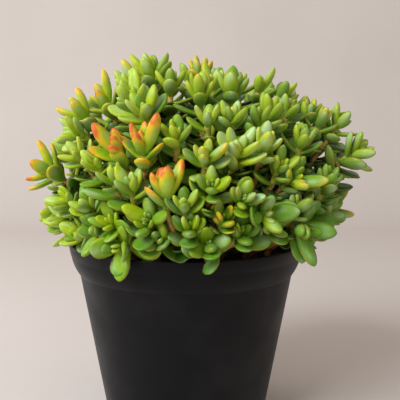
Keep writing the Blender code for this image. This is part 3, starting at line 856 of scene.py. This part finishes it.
# Half a leaf's section from margin to margin, over its upper face and then its keel: across, height
YOUNG_SECTION = (
    (1, 0), (0.74, 0.32), (0, 0.42), (-0.74, 0.32), (-1, 0), (-0.68, -0.42), (0, -0.60), (0.68, -0.42),
)
OLD_SECTION = (
    (1, 0.06), (0.72, 0.26), (0, 0.20), (-0.72, 0.26), (-1, 0.06), (-0.68, -0.40), (0, -0.62),
    (0.68, -0.40),
)
OLD_FORM_AGE = 0.5
STEM_SIDES = 10
STEM_STEP = 0.0016
YOUNG_GREEN = (0.410, 0.530, 0.006)
LEAF_GREEN = (0.155, 0.325, 0.003)
OLD_GREEN = (0.058, 0.200, 0.008)
PALE_GREEN = (0.460, 0.600, 0.120)
HAZE_GREEN = (0.430, 0.580, 0.300)
# Painted shade for the oldest leaves, deep inside the mound
PAINTED_SHADE_GREEN = (0.022, 0.078, 0.001)
GOLD = (0.640, 0.440, 0.008)
RED = (0.570, 0.105, 0.020)
RUST = (0.420, 0.230, 0.050)
BARK_BROWN = (0.340, 0.150, 0.060)
SHOOT_GREEN = (0.400, 0.440, 0.050)
SHOOT_ORANGE = (0.680, 0.330, 0.095)
BLOOM = (0.380, 0.480, 0.330)

# More pairs than the solids carry: drop below the tip, splay, size, and the age of the inner ones, which
# close round the bud, wider open where a crown leans out. Crowns low over the rim have few outer ones.
INNER_PAIRS = ((0.0008, 33, 0.92, 0.25), (0.0002, 20, 0.70, 0.15), (-0.0004, 7, 0.42, 0.05))
OPENING = 0.95
OUTER_PAIRS = (
    (0.0095, 70, 1.04), (0.0165, 68, 1.02), (0.0225, 62, 1.0), (0.0285, 62, 1.0), (0.0350, 60, 1.0),
    (0.0420, 60, 1.0), (0.0490, 58, 1.0), (0.0560, 56, 1.0), (0.0640, 56, 1.0), (0.0130, 80, 0.85),
    (0.0200, 78, 0.85), (0.0255, 76, 0.85), (0.0320, 76, 0.85), (0.0385, 74, 0.85),
)
# Each outer pair is older than the one above it, and the oldest are darkened with painted shade, as deep in
# the mound.
OUTER_AGE = 0.50
OUTER_AGEING = 0.12
OUTER_BLUSH = 0.6
ADDED_LENGTHS = (0.75, 1.2)
ADDED_SWAY = (6, 9)
LOW_CROWN = POT_HEIGHT + 0.024
LOW_PAIRS = 1
BOX_MARGIN = 0.0012

# Painted shade and light by a crown's place: painted shade to the right and low there, and painted light,
# paler and hazier, round three places that stand out into the light, each as its bearing, its rise and how
# far it reaches
PAINTED_SHADE_SIDE = 0.34
PAINTED_SHADE_LOW = 0.45
LIT_SHARE = 0.70
LIT_PLACES = ((14, 32, 0.028), (-72, 48, 0.048), (80, 28, 0.026))

# How its place tells on the shape: low over the rim, leaves are broader and take an older form. Those
# that caught the sun stand closer and longer.
LOW_RISE = 0.048
LOW_BREADTH = 0.20
LOW_RIPENESS = 0.22
SUN_CLOSING = 0.12
SUN_LENGTH = 0.14
SUN_LENGTH_ADDED = 0.22


def leaf_outline(share, root, widest):
    """Half a smooth leaf's width as a share of its greatest, with a soft point."""
    if share < widest:
        return root + (1 - root) * math.sin(math.pi / 2 * share / widest)
    past = (share - widest) / (1.004 - widest)
    return max(0.0, 1 - past ** 2.1) ** 0.59


def leaf_depth(share):
    """A leaf's depth as a share of its greatest."""
    root, thickest = 0.55, 0.45
    swell = root + (1 - root) * math.sin(math.pi / 2 * min(1.0, share / thickest))
    taper = max(0.0, 1 - max(0.0, (share - thickest) / (1.01 - thickest)) ** 2.4) ** 0.5
    return swell * taper


def make_leaf(name, section, root, widest, breadth, plumpness):
    """One leaf of unit length along Z, its upper face to +X. Along, edge and upper say where a point is."""
    points, marks, sides = [], [], len(section)
    for share in LEAF_RINGS:
        half = breadth * LEAF_WIDTH_SHARE / 2 * leaf_outline(share, root, widest)
        depth = plumpness * LEAF_THICKNESS_SHARE * leaf_depth(share)
        for sideways, height in section:
            points.append((height * depth + LEAF_CURL * share * share, sideways * half, share))
            marks.append((share, abs(sideways), 0.5 if abs(sideways) == 1 else float(height > 0)))
    points.append((LEAF_CURL * LEAF_POINT, 0.0, LEAF_POINT))
    marks.append((1.0, 0.9, 0.5))
    skin = [face for face in tube_faces(len(LEAF_RINGS), sides) if 0 not in face]
    faces = [tuple(corner - 1 for corner in face) for face in skin]
    mesh = closed_mesh(name, points, [*faces, tuple(reversed(range(sides)))])
    mesh.shade_smooth()
    for index, label in enumerate(("along", "edge", "upper")):
        values = mesh.attributes.new(label, "FLOAT", "POINT")
        values.data.foreach_set("value", [mark[index] for mark in marks])
    return put(name, mesh)


def leafy_stem_tree(values):
    """Sets a leaf on each leaf point and draws a round skin over each shoot."""
    tree, given = new_tree("leafy stem", values)

    def named(name, kind):
        return geo(tree, "InputNamedAttribute", {"Name": name}, data_type=kind)

    sorting = {"Geometry": given["Geometry"], "Selection": named("is_leaf", "BOOLEAN")}
    spots, lines = place(tree, "GeometryNodeSeparateGeometry", sorting, domain="POINT").outputs
    growth, face_up, size = (named(name, "FLOAT_VECTOR") for name in ("growth", "face_up", "size"))
    ways = {"Primary Axis": growth, "Secondary Axis": face_up}
    turn = place(tree, "FunctionNodeAxesToRotation", ways, primary_axis="Z", secondary_axis="X").outputs[0]
    leaves = []
    for label, operation in (("Young Leaf", "LESS_EQUAL"), ("Old Leaf", "GREATER_THAN")):
        ages = {0: named("age", "FLOAT"), 1: OLD_FORM_AGE}
        chosen = place(tree, "FunctionNodeCompare", ages, operation=operation).outputs[0]
        leaves.append(geo(tree, "InstanceOnPoints", {
            "Points": spots, "Selection": chosen, "Instance": shape_of(tree, given[label]),
            "Rotation": turn, "Scale": size,
        }))
    leaves = geo(tree, "RealizeInstances", {0: geo(tree, "JoinGeometry", {0: leaves})})
    curves = geo(tree, "MeshToCurve", {0: lines})
    smooth = geo(tree, "CurveSplineType", {0: curves}, spline_type="CATMULL_ROM")
    even = geo(tree, "ResampleCurve", {"Curve": smooth, "Length": given["Skin Step"]}, mode="LENGTH")
    circle = geo(tree, "CurvePrimitiveCircle", {"Resolution": given["Skin Sides"], "Radius": 1.0})
    skin = geo(tree, "CurveToMesh", {
        "Curve": even, "Profile Curve": circle, "Scale": named("girth", "FLOAT"), "Fill Caps": True})
    green = geo(tree, "SetMaterial", {"Geometry": leaves, "Material": given["Leaf Skin"]})
    brown = geo(tree, "SetMaterial", {"Geometry": skin, "Material": given["Stem Skin"]})
    joined = geo(tree, "JoinGeometry", {0: [green, brown]})
    place(tree, "NodeGroupOutput", {0: geo(tree, "SetShadeSmooth", {0: joined})})
    return tree


def attribute(tree, name):
    """A value that the plant's mesh carries."""
    return place(tree, "ShaderNodeAttribute", {}, attribute_name=name).outputs["Fac"]


def leaf_finish():
    """Waxy leaf green: yellower when young, duller with age, gold to red from the sun. The oldest leaves
    take painted shade, and each crown painted shade or light by its place.
    """
    material, tree, shader = new_finish(
        "crassula leaf", Subsurface_Weight=0.12, Subsurface_Scale=0.004, Specular_IOR_Level=0.28)
    along, edge, upper, age, blush, tint_shade_and_light, pale = (
        attribute(tree, name) for name in ("along", "edge", "upper", "age", "blush", "tint_shade_and_light", "pale"))
    green = blend(tree, ease(tree, age, 0.05, 0.75), YOUNG_GREEN, LEAF_GREEN)
    # The tint holds a leaf's own random tone plus painted shade and painted light from its crown's place:
    # it darkens the green to old green or lightens it to young green.
    for value, start, end, share, colour in (
        (tint_shade_and_light, 0.45, 0.95, 0.75, OLD_GREEN),
        (tint_shade_and_light, 0.30, 0.0, 0.75, YOUNG_GREEN),
        (cloud(tree, 260.0, 3.0), 0.35, 0.7, 0.28, OLD_GREEN),
        (along, 0.36, 0.0, 0.55, PALE_GREEN),
        (upper, 0.55, 0.1, 0.18, PALE_GREEN),
        (cloud(tree, 2400.0, 1.0), 0.60, 0.75, 0.18, PALE_GREEN),
    ):
        green = blend(tree, ease(tree, value, start, end, 0.0, share), green, colour)
    hazy = reckon(tree, ease(tree, along, 0.15, 0.85), ease(tree, edge, 1.0, 0.3))
    # Random patches of wax bloom, plus painted light as haze near the places that stand out into the light.
    wax_and_light = reckon(tree, patches(tree, 75.0, 1.0, 0.42, 0.68, 0.0, 0.65), reckon(tree, pale, 0.48), "ADD")
    green = blend(tree, reckon(tree, hazy, wax_and_light), green, HAZE_GREEN)
    # Painted shade: the oldest leaves, on the outer pairs deep in the mound, darken to a shaded green.
    green = blend(tree, ease(tree, age, 0.62, 1.0), green, PAINTED_SHADE_GREEN)
    rusty = reckon(tree, ease(tree, edge, 0.86, 1.0), ease(tree, along, 0.30, 0.95, 0.15, 0.60))
    green = blend(tree, rusty, green, RUST)
    at_tip = ease(tree, along, 0.55, 1.05, 0.0, 0.95)
    at_edge = reckon(tree, ease(tree, edge, 0.35, 1.0), ease(tree, along, 0.05, 0.70, 0.10, 0.46))
    sunned = reckon(tree, reckon(tree, at_tip, at_edge, "ADD"), blush)
    patchy = reckon(tree, sunned, patches(tree, 230.0, 2.0, 0.25, 0.65, 0.82, 1.10))
    green = blend(tree, ease(tree, patchy, 0.10, 0.62), green, GOLD)
    green = blend(tree, ease(tree, patchy, 0.40, 1.00), green, RED)
    green = blend(tree, patches(tree, 90.0, 3.0, 0.45, 0.7, 0.0, 0.03), green, BLOOM)
    roughness = patches(tree, 150.0, 3.0, 0.3, 0.7, 0.28, 0.44)
    coat(tree, shader, green, add_grain(tree, 1500.0, 330.0, 0.6), 0.0004, 0.35, roughness)
    return material


def stem_finish():
    """Stem skin: green at the tips, orange and brown lower down, ringed by leaf scars."""
    material, tree, shader = new_finish("crassula stem", Specular_IOR_Level=0.35)
    age, run = attribute(tree, "age"), attribute(tree, "run")
    ripe = reckon(tree, age, patches(tree, 200.0, 3.0, 0.3, 0.7, -0.15, 0.15), "ADD")
    skin = blend(tree, ease(tree, ripe, 0.05, 0.35), SHOOT_GREEN, SHOOT_ORANGE)
    skin = blend(tree, ease(tree, ripe, 0.50, 1.0), skin, BARK_BROWN)
    lane = place(tree, "ShaderNodeCombineXYZ", {"X": run}).outputs[0]
    sockets = {"Vector": lane, "Scale": 55.0, "Distortion": 0.6}
    scars = place(tree, "ShaderNodeTexWave", sockets, bands_direction="X").outputs["Fac"]
    skin = blend(tree, ease(tree, scars, 0.80, 0.98, 0.0, 0.45), skin, BARK_BROWN)
    grain = add_grain(tree, 1800.0, 500.0, 0.5)
    height = place(tree, "ShaderNodeMix", {0: 0.4, 2: grain, 3: scars}).outputs[0]
    coat(tree, shader, skin, height, 0.0004, 0.7, 0.55)
    return material


def painted_light(crown):
    """How much painted light a crown's leaves take, from 0 to 1, near the places that stand out into the
    light.
    """
    spots = ((on_mound(bearing, rise), reach) for bearing, rise, reach in LIT_PLACES)
    return max(0.0, *(1 - (crown.tip - spot).length / reach for spot, reach in spots))


def lowness(crown):
    """How low a crown is, from 0 to 1 at the rim and more below it."""
    return max(0.0, 1 - (crown.tip.z - POT_HEIGHT) / LOW_RISE)


def painted_shade_and_light(crown):
    """How much painted shade a crown's leaves take, or painted light where negative."""
    side = crown.tip.x / MOUND_REACH.x
    return PAINTED_SHADE_SIDE * side + PAINTED_SHADE_LOW * lowness(crown) * (1 + side) - LIT_SHARE * painted_light(crown)


def leaf_marks(crown, root, axis, side_way, splay, roll, length, age, blush):
    """What sets one leaf: its place, its ways, its size (thick, wide, long) and its hue, with painted shade
    and light from its crown's place.
    """
    growth, face_up = leaf_ways(axis, side_way, splay * (1 - SUN_CLOSING * blush), roll)
    draw = crown.finer
    low = lowness(crown)
    return {
        "point": root,
        "is_leaf": True,
        "growth": growth,
        "face_up": face_up,
        "size": (
            length * draw.uniform(0.88, 1.06),
            length * (1 + LOW_BREADTH * low) * draw.uniform(0.92, 1.12),
            length * (1 + SUN_LENGTH * blush) * draw.uniform(0.90, 1.10),
        ),
        "age": age + LOW_RIPENESS * low if age < OLD_FORM_AGE else age,
        "blush": max(0.0, min(1.0, blush * draw.uniform(0.70, 1.20))),
        # tint: the leaf's own random tone plus painted shade or painted light from its crown's place; pale:
        # painted light near places that stand out into the light.
        "tint_shade_and_light": max(0.0, min(1.0, draw.random() + painted_shade_and_light(crown))),
        "pale": painted_light(crown),
    }


def place_on_shoot(crown, drop):
    """The place, axis and side way of a shoot at a drop below its tip."""
    if drop <= 0:
        return crown.tip - crown.axis * drop, crown.axis, crown.across
    for upper, lower in zip(crown.path, crown.path[1:]):
        step = (upper - lower).length
        if drop <= step:
            axis = (upper - lower).normalized()
            across = crown.axis.rotation_difference(axis) @ crown.across
            return upper.lerp(lower, drop / step), axis, across
        drop -= step
    return None


def is_in_box(points):
    """Whether a leaf stays inside the solids' box, but for a small margin."""
    low, high = cad_box
    spans = [(low[i] - BOX_MARGIN, high[i] + BOX_MARGIN) for i in range(3)]
    return all(least < point[i] < most for point in points for i, (least, most) in enumerate(spans))


def grow_more(crown, drop, splay, size, turn, age, shine, thicket):
    """Grows a pair that the solids leave out, as far as it finds room."""
    found = place_on_shoot(crown, drop)
    if not found:
        return
    root, axis, across = found
    blade = leaf_faces((0, 1, 2), 3)
    for side in (turn, turn + 2):
        length = LEAF_LENGTH * crown.size * size * crown.finer.uniform(*ADDED_LENGTHS)
        length *= 1 + SUN_LENGTH_ADDED * shine
        for tilt, roll, scale in leaf_tries(crown.finer, side, splay, ADDED_SWAY):
            leaf = (root, axis, across, tilt, roll, length * scale)
            space = leaf_points(*leaf)
            fits = is_in_box(space) and is_above_soil(space)
            if fits and thicket.is_clear([root] * 3 + space, blade, crown):
                thicket.add([root] * 3 + space, blade, crown.stem, crown)
                crown.marks.append(leaf_marks(crown, *leaf, age, shine))
                break


def leafy_stem(number, stem, tree, values):
    """One stem with its shoots and leaves, in the place of its solid."""
    marks, edges = [mark for crown in stem.crowns for mark in crown.marks], []
    for crown in stem.crowns:
        radii = shoot_radii(crown)
        run = 0.0
        for index, (point, radius) in enumerate(zip(crown.path, radii)):
            if index:
                run += (point - crown.path[index - 1]).length
                edges.append((len(marks) - 1, len(marks)))
            age = min(1.0, run / STEM_RIPE_LENGTH)
            marks.append({"point": point, "girth": radius * STEM_ROUND, "run": run, "age": age})
    mesh = bpy.data.meshes.new(f"stem_lines_{number:02d}")
    mesh.from_pydata([tuple(mark["point"]) for mark in marks], edges, [])
    for names, kind, blank in (
        (("is_leaf",), "BOOLEAN", False), (("growth", "face_up", "size"), "FLOAT_VECTOR", (1, 1, 1)),
        (("age", "blush", "tint_shade_and_light", "pale", "girth", "run"), "FLOAT", 0),
    ):
        for name in names:
            carried = [mark.get(name, blank) for mark in marks]
            if kind == "FLOAT_VECTOR":
                carried = [part for value in carried for part in value]
            field = "vector" if kind == "FLOAT_VECTOR" else "value"
            mesh.attributes.new(name, kind, "POINT").data.foreach_set(field, carried)
    made = put(f"crassula_stem_{number:02d}", mesh)
    run_tree(made, tree, values)
    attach(made, "root")
    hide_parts(f"leafy_stem_{number:02d}")


thicket = Thicket()
solid_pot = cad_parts["pot"].data
pot_points = [vertex.co.copy() for vertex in solid_pot.vertices]
thicket.add(pot_points, [tuple(face.vertices) for face in solid_pot.polygons])
stems = grow_shoots(all_stems(all_crowns()), thicket)
crowns = [crown for stem in stems for crown in stem.crowns]
for turn, pair in enumerate(GROWN_PAIRS):
    for crown in crowns:
        grow_pair(crown, pair, turn, thicket)
for turn, (drop, splay, size, age) in enumerate(INNER_PAIRS):
    for crown in crowns:
        opened = splay * (1 + OPENING * (1 - crown.axis.z))
        grow_more(crown, drop, opened, size, turn, age, crown.blush, thicket)
for turn, pair in enumerate(OUTER_PAIRS, start=1):
    age = min(1.0, OUTER_AGE + OUTER_AGEING * turn)
    for crown in crowns:
        if turn <= LOW_PAIRS or crown.tip.z >= LOW_CROWN:
            grow_more(crown, *pair, turn, age, crown.blush * OUTER_BLUSH / turn, thicket)
young_leaf = make_leaf("young leaf", YOUNG_SECTION, root=0.50, widest=0.55, breadth=0.97, plumpness=1.28)
old_leaf = make_leaf("old leaf", OLD_SECTION, root=0.32, widest=0.66, breadth=1.20, plumpness=1.00)
stem_values = {
    "Young Leaf": young_leaf, "Old Leaf": old_leaf, "Skin Sides": STEM_SIDES, "Skin Step": STEM_STEP,
    "Leaf Skin": leaf_finish(), "Stem Skin": stem_finish(),
}
stem_tree = leafy_stem_tree(stem_values)
for number, stem in enumerate(stems, start=1):
    leafy_stem(number, stem, stem_tree, stem_values)
remove(young_leaf)
remove(old_leaf)


# The stage: a sheet of pale matt board that runs level under the pot and curves up behind it. Where
# it lies on the floor its colour is a little greyer, as painted shade. It isn't part of the plant.
BOARD_REACH = 3.0
BOARD_BACK = 1.05
BOARD_BEND = 0.30
BOARD_BEND_STEPS = 16
BOARD_HEIGHT = 2.4
BOARD = (0.645, 0.584, 0.534)
BOARD_FLOOR_SHADE = (0.605, 0.545, 0.498)
BOARD_CLOUD = (0.587, 0.529, 0.483)


def make_board():
    """The board as one swept sheet: level, then a bend, then upright."""
    line = [(-BOARD_REACH, 0.0)]
    for step in range(BOARD_BEND_STEPS + 1):
        turn = math.pi / 2 * step / BOARD_BEND_STEPS
        y = BOARD_BACK - BOARD_BEND + BOARD_BEND * math.sin(turn)
        line.append((y, BOARD_BEND * (1 - math.cos(turn))))
    line.append((BOARD_BACK, BOARD_HEIGHT))
    points = [(x, y, z) for y, z in line for x in (-BOARD_REACH, BOARD_REACH)]
    faces = [(2 * i, 2 * i + 1, 2 * i + 3, 2 * i + 2) for i in range(len(line) - 1)]
    mesh = bpy.data.meshes.new("board")
    mesh.from_pydata(points, [], faces)
    mesh.shade_smooth()
    board = put("backdrop_board", mesh)
    material, tree, shader = new_finish("pale board", Roughness=0.9, Specular_IOR_Level=0.2)
    height = place(tree, "ShaderNodeSeparateXYZ", {0: object_place(tree)}).outputs["Z"]
    # Painted shade: the level part of the board is greyer than the upright part.
    pale = blend(tree, ease(tree, height, 0.0, BOARD_BEND), BOARD_FLOOR_SHADE, BOARD)
    pale = blend(tree, patches(tree, 6.0, 3.0, 0.3, 0.7, 0.0, 0.4), pale, BOARD_CLOUD)
    fill(tree, shader, {"Base Color": pale})
    mesh.materials.append(material)


make_board()


# The light: a large soft lamp above the front left, a weak tall panel behind the left side that lights
# the edge of the pot, and pale light from all round. It is studio light and no part of the plant.
KEY_WAY = Vector((-150.0, -161.0, 0.0)).normalized()
KEY_ELEVATION = math.radians(38)
KEY_DISTANCE = 1.5
KEY_SIZE = (0.80, 0.80)
KEY_POWER = 27.0
KEY_COLOUR = (0.863, 0.927, 1.0)
PANEL_PLACE = Vector((-0.88, 0.38, 0.36))
PANEL_SIZE = (0.5, 1.0)
PANEL_POWER = 3.0
PANEL_COLOUR = (1.0, 1.0, 1.0)
SKY = (1.0, 0.925, 0.885)
SKY_STRENGTH = 0.578


def hang_lamp(name, power, size, colour, spot, aim):
    """A soft lamp, hung at a spot and turned to its aim."""
    lamp = bpy.data.lights.new(name, "AREA")
    lamp.shape = "RECTANGLE"
    lamp.energy = power
    lamp.size, lamp.size_y = size
    lamp.color = colour
    hung = put(name, lamp)
    hung.location = spot
    hung.rotation_euler = (spot - aim).to_track_quat("Z", "Y").to_euler()


rim = Vector((0, 0, POT_HEIGHT))
key_way = KEY_WAY * math.cos(KEY_ELEVATION) + Vector((0, 0, math.sin(KEY_ELEVATION)))
hang_lamp("key", KEY_POWER, KEY_SIZE, KEY_COLOUR, rim + key_way * KEY_DISTANCE, rim)
hang_lamp("panel", PANEL_POWER, PANEL_SIZE, PANEL_COLOUR, PANEL_PLACE, rim / 2)
world = bpy.data.worlds.new("studio")
world.use_nodes = True
background = world.node_tree.nodes["Background"]
fill(world.node_tree, background, {"Color": (*SKY, 1), "Strength": SKY_STRENGTH})
bpy.context.scene.world = world
bpy.context.scene.view_settings.view_transform = "Standard"


# The camera: level with the leaves, a little above the rim, looking slightly down. It is shifted a
# little aside, because the pot stands left of the middle of the photo.
CAMERA_DISTANCE = 0.45
CAMERA_RISE = 0.0777
CAMERA_TILT = 0.116
CAMERA_LENS = 63.5
CAMERA_SENSOR = 36.0
POT_MIDDLE_PIXEL = 186.0
FRAME_PIXELS = 400.0

lens = bpy.data.cameras.new("camera")
lens.lens = CAMERA_LENS
lens.sensor_width = CAMERA_SENSOR
lens.shift_x = (FRAME_PIXELS / 2 - POT_MIDDLE_PIXEL) / FRAME_PIXELS
camera = put("camera", lens)
camera.location = (0.0, -CAMERA_DISTANCE, POT_HEIGHT + CAMERA_RISE)
camera.rotation_euler = (math.pi / 2 - CAMERA_TILT, 0.0, 0.0)
bpy.context.scene.camera = camera
